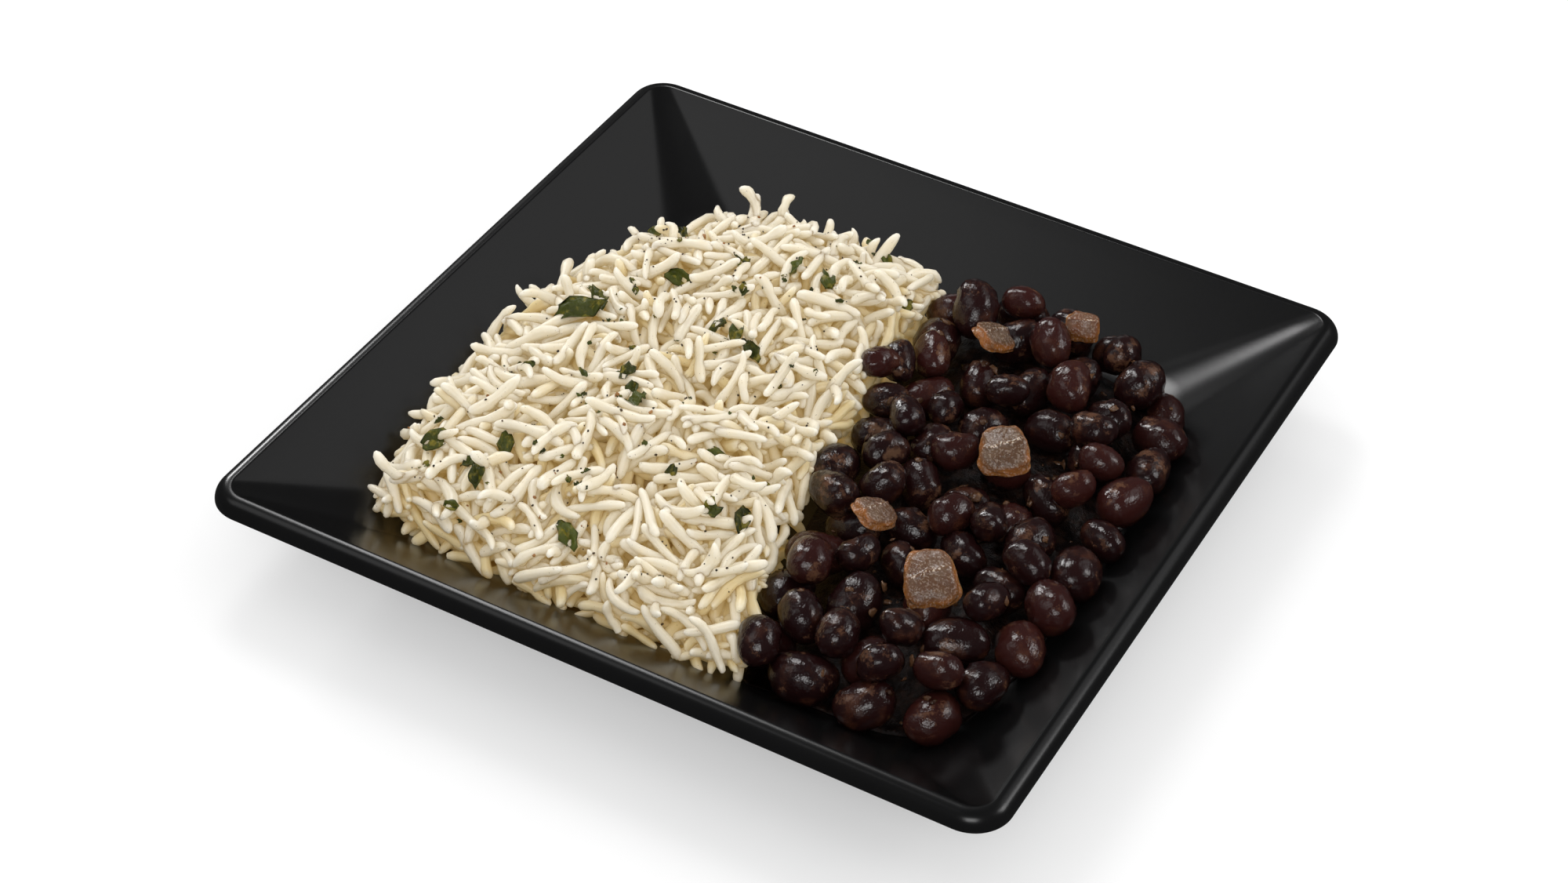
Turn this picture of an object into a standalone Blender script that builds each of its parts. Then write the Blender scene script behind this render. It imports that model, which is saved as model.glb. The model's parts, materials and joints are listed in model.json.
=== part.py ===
"""Rice and black beans on a square satin-black plate.

Metres, +Z up. The origin is on the table, under the middle of the plate, and the sides run along X and Y.
Rice fills the -X side of the well and beans the +X side. The heaps are solids out to their uneven outlines.
"""

import math

import bmesh
import bpy
from mathutils import Matrix, Vector, noise

MM = 0.001

# Plate: half sizes are measured from the centre to a side.
PLATE_HALF = 90.0 * MM
RIM_TOP = 24.0 * MM
WELL_TOP = 7.6 * MM
WELL_HALF = 63.0 * MM  # where the flat well would meet the straight wall
WALL_THICKNESS = 4.0 * MM
WELL_FILLET = 14.0 * MM
LIP_INNER, LIP_OUTER = 1.0 * MM, 3.4 * MM  # the rim's rounding, on the food's side and outside
LIP_UNDER = 18.1 * MM  # height of the rim's lower edge
UNDER_ROUND = 1.4 * MM
UNDER_INSET = 1.5 * MM  # how far the lower edge draws in
UNDERSIDE = 3.5 * MM
FOOT_OUTER, FOOT_INNER = 57.5 * MM, 51.5 * MM
FOOT_ROUND = 0.8 * MM
FOOT_RECESS = 3.0 * MM
RIM_CORNER, WELL_CORNER = 8.4 * MM, 15.0 * MM
CORNER_STEPS = 9
CREST_HALF = PLATE_HALF - LIP_OUTER
# The straight wall rises from the well and just touches the rim's rounding.
LIP_RISE, LIP_RUN = RIM_TOP - LIP_INNER - WELL_TOP, CREST_HALF - WELL_HALF
WALL_ANGLE = math.atan2(LIP_RISE, LIP_RUN) + math.asin(LIP_INNER / math.hypot(LIP_RISE, LIP_RUN))
LIP_HALF = CREST_HALF - LIP_INNER * math.sin(WALL_ANGLE)
LIP_CORNER = RIM_CORNER - (PLATE_HALF - LIP_HALF)

# Food. Each outline is a smooth line through these points in plan, in millimetres.
GAP = 0.35 * MM  # clearance that touching solids keep
# Where rice and beans meet, from the front to the back.
BORDER = [(25.5, -69), (17.5, -45), (12, -15), (9, 13), (6.8, 30), (5.4, 47), (5, 60)]
RICE_EDGE = [(-3, 62), (-20, 62.5), (-37, 61), (-51, 54), (-61.5, 39.5), (-68.5, 20), (-71.5, -3), (-71, -24),
             (-69.5, -43), (-66, -60.5), (-57, -67.5), (-40, -69), (-20, -70), (4, -70), (20, -69.8)]
BEAN_EDGE = [(31, -70), (45, -69.8), (57, -68.3), (66.5, -63.5), (72.2, -53), (75.2, -40), (75.9, -26), (76.1, -10),
             (76, 12), (73.8, 34), (68, 51), (59, 60), (47, 64), (34, 66), (22, 64.5), (12, 61.5)]
RICE_DEPTH, BEAN_DEPTH = 20.0 * MM, 16.5 * MM  # over the well, away from the edge
EDGE_DEPTH = 4.0 * MM
RICE_SHOULDER, BEAN_SHOULDER = 24.0 * MM, 15.0 * MM  # how far in from its edge a heap reaches full depth
HEAP_TURNS, HEAP_RINGS = 80, 12
BOTTOM_RING_STEP = 3
LINE_STEPS = 12
RICE_RELIEF, RICE_LUMP = 1.3 * MM, 8.0 * MM
BEAN_RELIEF, BEAN_LUMP = 2.6 * MM, 10.0 * MM

BEAN_SIZE = Vector((12.4, 9.2, 8.2)) * MM
LOOSE_BEAN = {"at": (9.4, 18.6, 25.6), "turn": (10, -8, 60), "size": 0.8}
# Onion squares lying on the beans: centre, size and rotation, in millimetres and degrees.
ONIONS = [
    {"at": (45.2, 7.0, 25.4), "size": (10.4, 11.0, 4.2), "turn": (20, -6, 30)},
    {"at": (49.8, -35.6, 25.2), "size": (10.8, 12.2, 4.2), "turn": (24, -6, 34)},
    {"at": (31.0, -24.2, 24.8), "size": (9.4, 8.0, 4.0), "turn": (12, 24, 70)},
    {"at": (26.6, 39.6, 25.2), "size": (10.0, 7.8, 4.0), "turn": (14, 26, 72)},
    {"at": (41.2, 54.0, 24.6), "size": (7.6, 6.4, 4.6), "turn": (24, 6, 20)},
]

COLOURS = {
    "plate_glaze": ((0.012, 0.012, 0.012), 0.32),
    "cooked_rice": ((0.78, 0.72, 0.58), 0.45),
    "cooked_beans": ((0.030, 0.010, 0.009), 0.22),
    "cooked_onion": ((0.36, 0.20, 0.11), 0.25),
}


def clear_scene():
    for old in list(bpy.data.objects):
        bpy.data.objects.remove(old)


def material(name):
    made = bpy.data.materials.get(name)
    if made:
        return made
    made = bpy.data.materials.new(name)
    made.use_nodes = True
    colour, roughness = COLOURS[name]
    shader = made.node_tree.nodes["Principled BSDF"]
    shader.inputs["Base Color"].default_value = (*colour, 1.0)
    shader.inputs["Roughness"].default_value = roughness
    shader.inputs["Metallic"].default_value = 0.0
    return made


def add_object(name, bm, finish, smooth=True):
    bmesh.ops.recalc_face_normals(bm, faces=bm.faces)
    mesh = bpy.data.meshes.new(name)
    bm.to_mesh(mesh)
    bm.free()
    if smooth:
        mesh.shade_smooth()
        mesh.set_sharp_from_angle(angle=math.radians(50))
    mesh.materials.append(material(finish))
    made = bpy.data.objects.new(name, mesh)
    bpy.context.scene.collection.objects.link(made)
    return made


def arc(centre, radius, start, end, steps):
    """Points along an arc in the profile plane, angles in radians from the outward direction."""
    turns = [start + (end - start) * i / steps for i in range(steps + 1)]
    return [(centre[0] + radius * math.cos(a), centre[1] + radius * math.sin(a)) for a in turns]


def bead_points():
    """The rim's rounding: tight on the food's side, wide outside, level where the two arcs meet."""
    inside = arc((CREST_HALF, RIM_TOP - LIP_INNER), LIP_INNER, WALL_ANGLE + math.pi / 2, math.pi / 2, 3)
    outside = arc((CREST_HALF, RIM_TOP - LIP_OUTER), LIP_OUTER, math.pi / 2, 0.0, 8)
    return inside + outside[1:]


def inner_profile():
    """(half size, height) from the well's flat floor up the wall to where the bead begins."""
    tangent = WELL_FILLET * math.tan(WALL_ANGLE / 2)
    low = arc((WELL_HALF - tangent, WELL_TOP + WELL_FILLET), WELL_FILLET, -math.pi / 2, WALL_ANGLE - math.pi / 2, 5)
    return low + bead_points()[:1]


def outer_profile():
    """(half size, height) over the bead, down the rim's side, along the underside and round the foot."""
    bead = bead_points()[1:]
    lower = arc((PLATE_HALF - UNDER_ROUND - UNDER_INSET, LIP_UNDER + UNDER_ROUND), UNDER_ROUND, 0.0,
                WALL_ANGLE - math.pi / 2, 5)
    drop = (WELL_TOP - WALL_THICKNESS / math.cos(WALL_ANGLE)) - UNDERSIDE
    under = [(WELL_HALF - drop / math.tan(WALL_ANGLE), UNDERSIDE), (FOOT_OUTER + FOOT_ROUND, UNDERSIDE)]
    outside = arc((FOOT_OUTER - FOOT_ROUND, FOOT_ROUND), FOOT_ROUND, 0.0, -math.pi / 2, 3)
    inside = arc((FOOT_INNER + FOOT_ROUND, FOOT_ROUND), FOOT_ROUND, -math.pi / 2, -math.pi, 3)
    return bead + lower + under + outside + inside + [(FOOT_INNER - FOOT_ROUND, FOOT_RECESS)]


def corner_radius(half):
    """The inside corner's radius, which grows from the bead down to the well."""
    share = (LIP_HALF - half) / (LIP_HALF - WELL_HALF)
    return LIP_CORNER + (WELL_CORNER - LIP_CORNER) * min(1.0, max(0.0, share))


def outer_corner(half, z):
    """The outside corner's radius: the bead keeps its width round the corner, the underside stays nearly as round."""
    if z >= RIM_TOP - LIP_OUTER - 1e-6:
        return RIM_CORNER - (PLATE_HALF - half)
    return RIM_CORNER - 0.25 * min(PLATE_HALF - half, 6 * MM)


def rounded_square(bm, half, radius, height):
    """One closed row of points round the plate."""
    row = []
    for corner in range(4):
        middle = Matrix.Rotation(corner * math.pi / 2, 3, "Z") @ Vector((half - radius, half - radius, height))
        for i in range(CORNER_STEPS + 1):
            a = (corner + i / CORNER_STEPS) * math.pi / 2
            row.append(bm.verts.new(middle + radius * Vector((math.cos(a), math.sin(a), 0))))
    return row


def join_rows(bm, first, second):
    for i, corner in enumerate(first):
        j = (i + 1) % len(first)
        bm.faces.new((corner, first[j], second[j], second[i]))


def build_plate():
    bm = bmesh.new()
    inner = [rounded_square(bm, half, corner_radius(half), z) for half, z in inner_profile()]
    outer = [rounded_square(bm, half, outer_corner(half, z), z) for half, z in outer_profile()]
    rows = inner + outer
    for first, second in zip(rows, rows[1:]):
        join_rows(bm, first, second)
    bm.faces.new(rows[0])
    bm.faces.new(rows[-1])
    add_object("plate", bm, "plate_glaze")


def height_at(half):
    """Height of the dish's inside where its rounded square has this half size."""
    profile = inner_profile()
    if half <= profile[0][0]:
        return WELL_TOP
    for (u0, z0), (u1, z1) in zip(profile, profile[1:]):
        if half <= u1:
            return z0 + (z1 - z0) * (half - u0) / (u1 - u0)
    return profile[-1][1]


def dish_height(x, y):
    """Height of the dish's inside over a point in plan."""
    a, b = abs(x), abs(y)
    half = max(a, b)
    for _ in range(6):
        r = corner_radius(half)
        if abs(a - b) < r:
            half = (a + b - math.sqrt(2 * r * r - (a - b) ** 2)) / 2 + r
    return height_at(half)


def smooth_line(points):
    """A Catmull-Rom line through points given in millimetres."""
    padded = [Vector(p) * MM for p in (points[0], *points, points[-1])]
    line = []
    for p0, p1, p2, p3 in zip(padded, padded[1:], padded[2:], padded[3:]):
        for step in range(LINE_STEPS):
            t = step / LINE_STEPS
            line.append(0.5 * (2 * p1 + (p2 - p0) * t + (2 * p0 - 5 * p1 + 4 * p2 - p3) * t * t
                               + (3 * p1 - 3 * p2 + p3 - p0) * t**3))
    return line + [padded[-1]]


def spokes(line, count):
    """The middle of a closed line, and the points where evenly turned spokes from there meet it."""
    middle = sum(line, Vector((0, 0))) / len(line)
    found = []
    for k in range(count):
        way = Vector((math.cos(math.tau * k / count), math.sin(math.tau * k / count)))
        found.append(middle + way * max(hit_distance(middle, way, line)))
    return middle, found


def hit_distance(start, way, line):
    """How far along a ray each piece of a closed line that it meets lies."""
    side = Vector((-way.y, way.x))
    hits = []
    for a, b in zip(line, line[1:] + line[:1]):
        da, db = (a - start).dot(side), (b - start).dot(side)
        if da * db <= 0 and da != db:
            t = (a + (b - a) * (da / (da - db)) - start).dot(way)
            if t > 0:
                hits.append(t)
    return hits


def edge_distance(point, outline):
    found = []
    for a, b in zip(outline, outline[1:] + outline[:1]):
        t = max(0.0, min(1.0, (point - a).dot(b - a) / (b - a).length_squared))
        found.append((point - (a + (b - a) * t)).length)
    return min(found)


def lumps(x, y, amount, across):
    """Soft unevenness of the heap's top."""
    return amount * noise.noise(Vector((x, y, 0.3 * across)) / across)


def build_heap(name, outline, depth, shoulder, relief, finish, cutters):
    """A heap in the dish: its underside follows the plate, and its top swells from a steep edge to its full depth."""
    middle, edge = spokes(outline, HEAP_TURNS)
    bm = bmesh.new()
    tops = []
    bottoms = []
    for ring in range(1, HEAP_RINGS + 1):
        share = math.sin(ring / HEAP_RINGS * math.pi / 2) ** 0.9
        points = [middle.lerp(out, share) for out in edge]
        floors = [dish_height(p.x, p.y) + GAP for p in points]
        if ring % BOTTOM_RING_STEP == 0:
            bottoms.append([bm.verts.new((p.x, p.y, floor)) for p, floor in zip(points, floors)])
        row = []
        for p, floor in zip(points, floors):
            rise = min(1.0, edge_distance(p, edge) / shoulder)
            full = max(WELL_TOP + depth - floor, EDGE_DEPTH)
            thick = EDGE_DEPTH + (full - EDGE_DEPTH) * math.sqrt(1 - (1 - rise) ** 2)
            uneven = lumps(p.x, p.y, *relief) * min(1.0, 0.25 + rise)
            row.append(bm.verts.new((p.x, p.y, floor + thick + uneven)))
        tops.append(row)
    summit = bm.verts.new((middle.x, middle.y, WELL_TOP + depth + lumps(middle.x, middle.y, *relief)))
    base = bm.verts.new((middle.x, middle.y, WELL_TOP + GAP))
    for i in range(HEAP_TURNS):
        j = (i + 1) % HEAP_TURNS
        bm.faces.new((summit, tops[0][i], tops[0][j]))
        bm.faces.new((base, bottoms[0][j], bottoms[0][i]))
    for rows in (tops, bottoms, [tops[-1], bottoms[-1]]):
        for first, second in zip(rows, rows[1:]):
            join_rows(bm, first, second)
    heap = add_object(name, bm, finish)
    for cutter in cutters:
        cut = heap.modifiers.new("seat_" + cutter.name, "BOOLEAN")
        cut.operation = "DIFFERENCE"
        cut.object = cutter


def place(obj, at, turn):
    obj.location = Vector(at) * MM
    obj.rotation_euler = [math.radians(a) for a in turn]


def bean_mesh(size, grow=0.0):
    """A black bean: an egg-round body, flattened a little, with a shallow dip along its eye side."""
    bm = bmesh.new()
    bmesh.ops.create_uvsphere(bm, u_segments=18, v_segments=12, radius=1.0)
    for v in bm.verts:
        x, y, z = v.co
        dip = 0.22 * math.exp(-((x / 0.45) ** 2)) * max(0.0, y)
        v.co = Vector((x * size.x, (y - dip) * size.y * (1 - 0.06 * x * x), z * size.z)) / 2
        v.co += v.co.normalized() * grow
    return bm


def onion_mesh(size, grow=0.0):
    """A square of cooked onion: a bevelled block, bowed like the layer it was cut from."""
    half = Vector(size) * MM / 2
    bm = bmesh.new()
    bmesh.ops.create_cube(bm, size=2.0)
    bmesh.ops.subdivide_edges(bm, edges=bm.edges, cuts=3, use_grid_fill=True)
    for v in bm.verts:
        x, y, z = v.co
        box = Vector((x, y, z))
        ball = box.normalized() * 1.18
        p = box.lerp(ball, 0.42)
        bow = 0.35 * (1 - p.x * p.x)
        lean = 0.12 * p.y
        v.co = Vector(((p.x + lean) * half.x, p.y * (1 - 0.14 * p.x) * half.y, (p.z + bow) * half.z))
        v.co += v.co.normalized() * grow
    return bm


def seat_cutter(name, bm, at, turn):
    """A slightly larger copy of a piece, which leaves it room in the heap below."""
    cutter = add_object("room_for_" + name, bm, "cooked_onion", smooth=False)
    place(cutter, at, turn)
    cutter.hide_render = True
    cutter.display_type = "WIRE"
    return cutter


def build_toppings():
    """The pieces that lie on the heaps. Returns the cutters of those on the beans and of those on the rice."""
    on_beans, on_rice = [], []
    for i, onion in enumerate(ONIONS, start=1):
        name = f"onion_{i}"
        piece = add_object(name, onion_mesh(onion["size"]), "cooked_onion")
        place(piece, onion["at"], onion["turn"])
        on_beans.append(seat_cutter(name, onion_mesh(onion["size"], GAP), onion["at"], onion["turn"]))
    size = BEAN_SIZE * LOOSE_BEAN["size"]
    loose = add_object("loose_bean", bean_mesh(size), "cooked_beans")
    place(loose, LOOSE_BEAN["at"], LOOSE_BEAN["turn"])
    on_rice.append(seat_cutter("loose_bean", bean_mesh(size, GAP), LOOSE_BEAN["at"], LOOSE_BEAN["turn"]))
    return on_beans, on_rice


def main():
    clear_scene()
    build_plate()
    on_beans, on_rice = build_toppings()
    border = smooth_line(BORDER)
    off = Vector((GAP, 0))
    rice_outline = smooth_line(RICE_EDGE) + [p - off for p in border]
    bean_outline = smooth_line(BEAN_EDGE) + [p + off for p in reversed(border)]
    build_heap("rice", rice_outline, RICE_DEPTH, RICE_SHOULDER, (RICE_RELIEF, RICE_LUMP), "cooked_rice", on_rice)
    build_heap("beans", bean_outline, BEAN_DEPTH, BEAN_SHOULDER, (BEAN_RELIEF, BEAN_LUMP), "cooked_beans", on_beans)


main()
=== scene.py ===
import json
import random
from math import asin, atan, atan2, cos, exp, hypot, pi, radians, remainder, sin, sqrt, tan, tau

import bmesh
import bpy
import numpy as np
from mathutils import Euler, Matrix, Quaternion, Vector, noise

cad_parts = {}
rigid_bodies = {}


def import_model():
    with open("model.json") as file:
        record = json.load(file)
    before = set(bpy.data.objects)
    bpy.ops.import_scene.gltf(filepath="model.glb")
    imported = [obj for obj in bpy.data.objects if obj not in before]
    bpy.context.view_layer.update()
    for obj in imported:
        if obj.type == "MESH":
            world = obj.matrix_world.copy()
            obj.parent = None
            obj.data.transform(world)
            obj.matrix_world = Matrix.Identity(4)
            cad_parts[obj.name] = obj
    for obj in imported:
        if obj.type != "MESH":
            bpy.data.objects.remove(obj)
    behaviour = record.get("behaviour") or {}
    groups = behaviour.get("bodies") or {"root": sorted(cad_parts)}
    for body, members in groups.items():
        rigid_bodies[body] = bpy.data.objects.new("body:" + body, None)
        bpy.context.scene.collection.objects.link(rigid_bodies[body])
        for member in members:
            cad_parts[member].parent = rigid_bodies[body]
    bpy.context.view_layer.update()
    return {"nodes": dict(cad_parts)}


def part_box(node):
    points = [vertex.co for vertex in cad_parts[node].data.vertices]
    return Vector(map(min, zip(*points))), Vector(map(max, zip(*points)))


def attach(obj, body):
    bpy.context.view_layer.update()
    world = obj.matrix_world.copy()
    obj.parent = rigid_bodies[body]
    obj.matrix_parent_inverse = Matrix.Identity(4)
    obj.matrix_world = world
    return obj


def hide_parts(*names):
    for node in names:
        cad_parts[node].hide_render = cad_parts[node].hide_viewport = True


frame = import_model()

mm = 0.001
print("frame loaded:", ", ".join(sorted(frame["nodes"])))


def addNode(tree, kind, inputs=None, **settings):
    made = tree.nodes.new(kind)
    for name, value in settings.items():
        setattr(made, name, value)
    for key, value in (inputs or {}).items():
        if isinstance(value, bpy.types.Node):
            value = value.outputs[0]
        if isinstance(value, bpy.types.NodeSocket):
            tree.links.new(value, made.inputs[key])
        else:
            made.inputs[key].default_value = value
    return made


def calc(tree, operation, a, b=0.0):
    return addNode(tree, "ShaderNodeMath", {0: a, 1: b}, operation=operation).outputs[0]


def smoothMask(tree, value, low, high):
    made = addNode(tree, "ShaderNodeMapRange", {"Value": value, "From Min": low, "From Max": high},
                   interpolation_type="SMOOTHSTEP")
    return made.outputs[0]


def mixColour(tree, factor, a, b):
    made = addNode(tree, "ShaderNodeMix", data_type="RGBA")
    for index, value in ((0, factor), (6, a), (7, b)):
        if isinstance(value, bpy.types.NodeSocket):
            tree.links.new(value, made.inputs[index])
        else:
            made.inputs[index].default_value = value if index == 0 else (*value, 1.0)
    return made.outputs[2]


# a colour laid over the base, as strong as the mask says
def layOver(tree, base, mask, strength, colour):
    return mixColour(tree, calc(tree, "MULTIPLY", mask, strength), base, colour)


def attribute(tree, name):
    return addNode(tree, "ShaderNodeAttribute", attribute_name=name).outputs["Fac"]


def objectNoise(tree, scale, detail=3.0, roughness=0.55, offset=(0, 0, 0), stretch=(1, 1, 1)):
    place = addNode(tree, "ShaderNodeMapping",
                    {"Vector": addNode(tree, "ShaderNodeTexCoord").outputs["Object"],
                     "Location": offset, "Scale": stretch})
    made = addNode(tree, "ShaderNodeTexNoise",
                   {"Vector": place, "Scale": scale, "Detail": detail, "Roughness": roughness})
    return made.outputs["Fac"]


def newMaterial(name, values=None):
    made = bpy.data.materials.new(name)
    made.use_nodes = True
    shader = made.node_tree.nodes["Principled BSDF"]
    for key, value in (values or {}).items():
        shader.inputs[key].default_value = value
    return made, made.node_tree, shader


def feed(tree, shader, name, socket):
    tree.links.new(socket, shader.inputs[name])


def unevenRoughness(tree, shader, cloudy, least, more):
    feed(tree, shader, "Roughness", calc(tree, "ADD", calc(tree, "MULTIPLY", cloudy, more), least))


def addBump(tree, shader, height, strength, distance):
    bump = addNode(tree, "ShaderNodeBump", {"Height": height, "Strength": strength, "Distance": distance})
    feed(tree, shader, "Normal", bump.outputs[0])


def linkObject(name, mesh):
    made = bpy.data.objects.new(name, mesh)
    bpy.context.scene.collection.objects.link(made)
    return made


def meshFrom(name, bm, smooth=True):
    bmesh.ops.recalc_face_normals(bm, faces=bm.faces)
    mesh = bpy.data.meshes.new(name)
    bm.to_mesh(mesh)
    bm.free()
    if smooth:
        mesh.shade_smooth()
    return mesh


def fanFaces(bm, tip, row):
    for first, second in zip(row, row[1:] + row[:1]):
        bm.faces.new((tip, first, second))


def bandFaces(bm, rows):
    for first, second in zip(rows, rows[1:]):
        for k in range(len(first)):
            j = (k + 1) % len(first)
            bm.faces.new((first[k], second[k], second[j], first[j]))


# a geometry tree with its named inputs; the second result is their sockets
def newTree(name, inputs, output):
    tree = bpy.data.node_groups.new(name, "GeometryNodeTree")
    for key, kind in inputs.items():
        tree.interface.new_socket(key, in_out="INPUT", socket_type="NodeSocket" + kind)
    tree.interface.new_socket(output, in_out="OUTPUT", socket_type="NodeSocketGeometry")
    return tree, addNode(tree, "NodeGroupInput").outputs


def finishTree(tree, geometry, material):
    real = addNode(tree, "GeometryNodeRealizeInstances", {0: geometry})
    done = addNode(tree, "GeometryNodeSetMaterial", {0: real, "Material": material})
    addNode(tree, "NodeGroupOutput", {0: done})
    return tree


def plainMesh(obj, tree, values):
    modifier = obj.modifiers.new("build", "NODES")
    modifier.node_group = tree
    for item in tree.interface.items_tree:
        if item.in_out == "INPUT" and item.name in values:
            modifier[item.identifier] = values[item.name]
    graph = bpy.context.evaluated_depsgraph_get()
    ready = obj.evaluated_get(graph)
    made = bpy.data.meshes.new_from_object(ready, preserve_all_data_layers=True, depsgraph=graph)
    obj.modifiers.remove(modifier)
    made.name = obj.name
    obj.data = made


def handOver(made, replaced=()):
    if replaced:
        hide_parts(*replaced)
    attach(made, "root")


cameraSettings = {
    "lens": 73.2,
    "azimuth": 27.03,
    "elevation": 40.52,
    "roll": 2.97,
    "distance": 0.7017,
    "aim": (-0.0090, 0.0114, 0.0),
}


def makeCamera(settings):
    a, e = radians(settings["azimuth"]), radians(settings["elevation"])
    back = Vector((sin(a) * cos(e), -cos(a) * cos(e), sin(e)))
    data = bpy.data.cameras.new("camera")
    data.lens = settings["lens"]
    made = linkObject("camera", data)
    made.location = Vector(settings["aim"]) + back * settings["distance"]
    made.rotation_mode = "QUATERNION"
    turn = (-back).to_track_quat("-Z", "Y")
    made.rotation_quaternion = turn @ Quaternion((0, 0, 1), radians(settings["roll"]))
    bpy.context.scene.camera = made


lightSettings = {
    "sky": 0.90,
    "dimSky": 0.05,
    "floorGlow": 0.38,
    "lamps": [
        {"name": "leftSoftbox", "way": (-0.44, 0.40, 0.80), "away": 1.15, "size": (0.28, 0.34), "watts": 2.7},
        {"name": "creaseLamp", "way": (-0.80, 0.48, 0.37), "away": 1.2, "size": (0.15, 0.17), "watts": 2.1},
        {"name": "rightSoftbox", "way": (0.72, 0.42, 0.58), "away": 1.2, "size": (0.40, 0.35), "watts": 2.0},
        {"name": "topSoftbox", "way": (-0.50, -0.26, 0.83), "away": 1.1, "size": (0.40, 0.60), "watts": 0.6},
        {"name": "fillSoftbox", "way": (0.38, 0.66, 0.64), "away": 1.3, "size": (0.60, 0.50), "watts": 0.5},
        {"name": "frontSoftbox", "way": (0.34, -0.66, 0.67), "away": 1.3, "size": (0.50, 0.40), "watts": 3.0},
    ],
}


def makeLights(settings):
    for lamp in settings["lamps"]:
        data = bpy.data.lights.new(lamp["name"], "AREA")
        data.shape = "RECTANGLE"
        data.size, data.size_y = lamp["size"]
        data.energy = lamp["watts"]
        made = linkObject(lamp["name"], data)
        way = Vector(lamp["way"]).normalized()
        made.location = way * lamp["away"]
        made.rotation_mode = "QUATERNION"
        made.rotation_quaternion = way.to_track_quat("Z", "Y")
    world = bpy.data.worlds.new("studio")
    bpy.context.scene.world = world
    world.use_nodes = True
    tree = world.node_tree
    tree.nodes.clear()
    sky = addNode(tree, "ShaderNodeBackground", {"Color": (1, 1, 1, 1), "Strength": settings["sky"]})
    dim = addNode(tree, "ShaderNodeBackground", {"Color": (1, 1, 1, 1), "Strength": settings["dimSky"]})
    path = addNode(tree, "ShaderNodeLightPath")
    mix = addNode(tree, "ShaderNodeMixShader", {0: path.outputs["Is Glossy Ray"], 1: sky, 2: dim})
    addNode(tree, "ShaderNodeOutputWorld", {"Surface": mix})


def makeFloor():
    bm = bmesh.new()
    bmesh.ops.create_grid(bm, x_segments=1, y_segments=1, size=6.0)
    floor = linkObject("floor", meshFrom("floor", bm, smooth=False))
    glow = {"Roughness": 0.9, "Emission Color": (1, 1, 1, 1), "Emission Strength": lightSettings["floorGlow"]}
    material, tree, shader = newMaterial("palePaper", glow)
    shade = mixColour(tree, objectNoise(tree, 40.0), (0.53, 0.53, 0.53), (0.55, 0.55, 0.55))
    feed(tree, shader, "Base Color", shade)
    floor.data.materials.append(material)
    floor.location.z = -0.2 * mm
    floor.visible_glossy = False


makeCamera(cameraSettings)
makeLights(lightSettings)
makeFloor()
bpy.context.scene.view_settings.view_transform = "Standard"
print("camera, light and floor made")


plateSettings = {
    "half": 90.0,
    "rimTop": 24.0,
    "wellTop": 7.6,
    "wellHalf": 63.0,
    "wallThickness": 4.0,
    "wellFillet": 14.0,
    "lipInner": 1.0,
    "lipOuter": 3.4,
    "lipUnder": 18.1,
    "underRound": 1.4,
    "underInset": 1.5,
    "underside": 3.5,
    "footOuter": 57.5,
    "footInner": 51.5,
    "footRound": 0.8,
    "footRecess": 3.0,
    "rimCorner": 8.4,
    "wellCorner": 15.0,
    "underCornerShare": 0.25,
    "underCornerReach": 6.0,
    "cornerSteps": 14,
    "flatHalf": 30.0,
    "flatCorner": 4.0,
    "wellFlat": 48.0,
    "mergeDistance": 0.02,
}


def arcPoints(centre, radius, start, end, steps):
    turns = [start + (end - start) * i / steps for i in range(steps + 1)]
    return [(centre[0] + radius * cos(a), centre[1] + radius * sin(a)) for a in turns]


# the straight wall rises from the well and just touches the rim's rounding
def wallTilt(p):
    rise, run = p["rimTop"] - p["lipInner"] - p["wellTop"], p["half"] - p["lipOuter"] - p["wellHalf"]
    return atan2(rise, run) + asin(p["lipInner"] / hypot(rise, run))


wallAngle = wallTilt(plateSettings)
lipHalf = plateSettings["half"] - plateSettings["lipOuter"] - plateSettings["lipInner"] * sin(wallAngle)


# tight on the food's side, wide outside, level where the two arcs meet
def beadPoints(p):
    crest = p["half"] - p["lipOuter"]
    inside = arcPoints((crest, p["rimTop"] - p["lipInner"]), p["lipInner"],
                       wallAngle + pi / 2, pi / 2, 8)
    outside = arcPoints((crest, p["rimTop"] - p["lipOuter"]), p["lipOuter"], pi / 2, 0.0, 18)
    return inside + outside[1:]


def innerProfile(p):
    tangent = p["wellFillet"] * tan(wallAngle / 2)
    low = arcPoints((p["wellHalf"] - tangent, p["wellTop"] + p["wellFillet"]), p["wellFillet"],
                    -pi / 2, wallAngle - pi / 2, 12)
    end = beadPoints(p)[0]
    return low + [tuple(Vector(low[-1]).lerp(Vector(end), i / 6)) for i in range(1, 7)]


def outerProfile(p):
    bead = beadPoints(p)[1:]
    r, bend = p["footRound"], p["underRound"]
    lower = arcPoints((p["half"] - bend - p["underInset"], p["lipUnder"] + bend), bend,
                      0.0, wallAngle - pi / 2, 8)
    drop = p["wellTop"] - p["wallThickness"] / cos(wallAngle) - p["underside"]
    under = [(u, p["underside"]) for u in (p["wellHalf"] - drop / tan(wallAngle), p["footOuter"] + r)]
    outside = arcPoints((p["footOuter"] - r, r), r, 0.0, -pi / 2, 5)
    inside = arcPoints((p["footInner"] + r, r), r, -pi / 2, -pi, 5)
    return bead + lower + under + outside + inside + [(p["footInner"] - r, p["footRecess"])]


def innerCorner(p, half):
    share = np.clip((lipHalf - half) / (lipHalf - p["wellHalf"]), 0.0, 1.0)
    atLip = p["rimCorner"] - (p["half"] - lipHalf)
    return atLip + (p["wellCorner"] - atLip) * share


def outerCorner(p, half, height):
    if height >= p["rimTop"] - p["lipOuter"] - 0.001:
        return p["rimCorner"] - (p["half"] - half)
    return p["rimCorner"] - p["underCornerShare"] * min(p["half"] - half, p["underCornerReach"])


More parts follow.
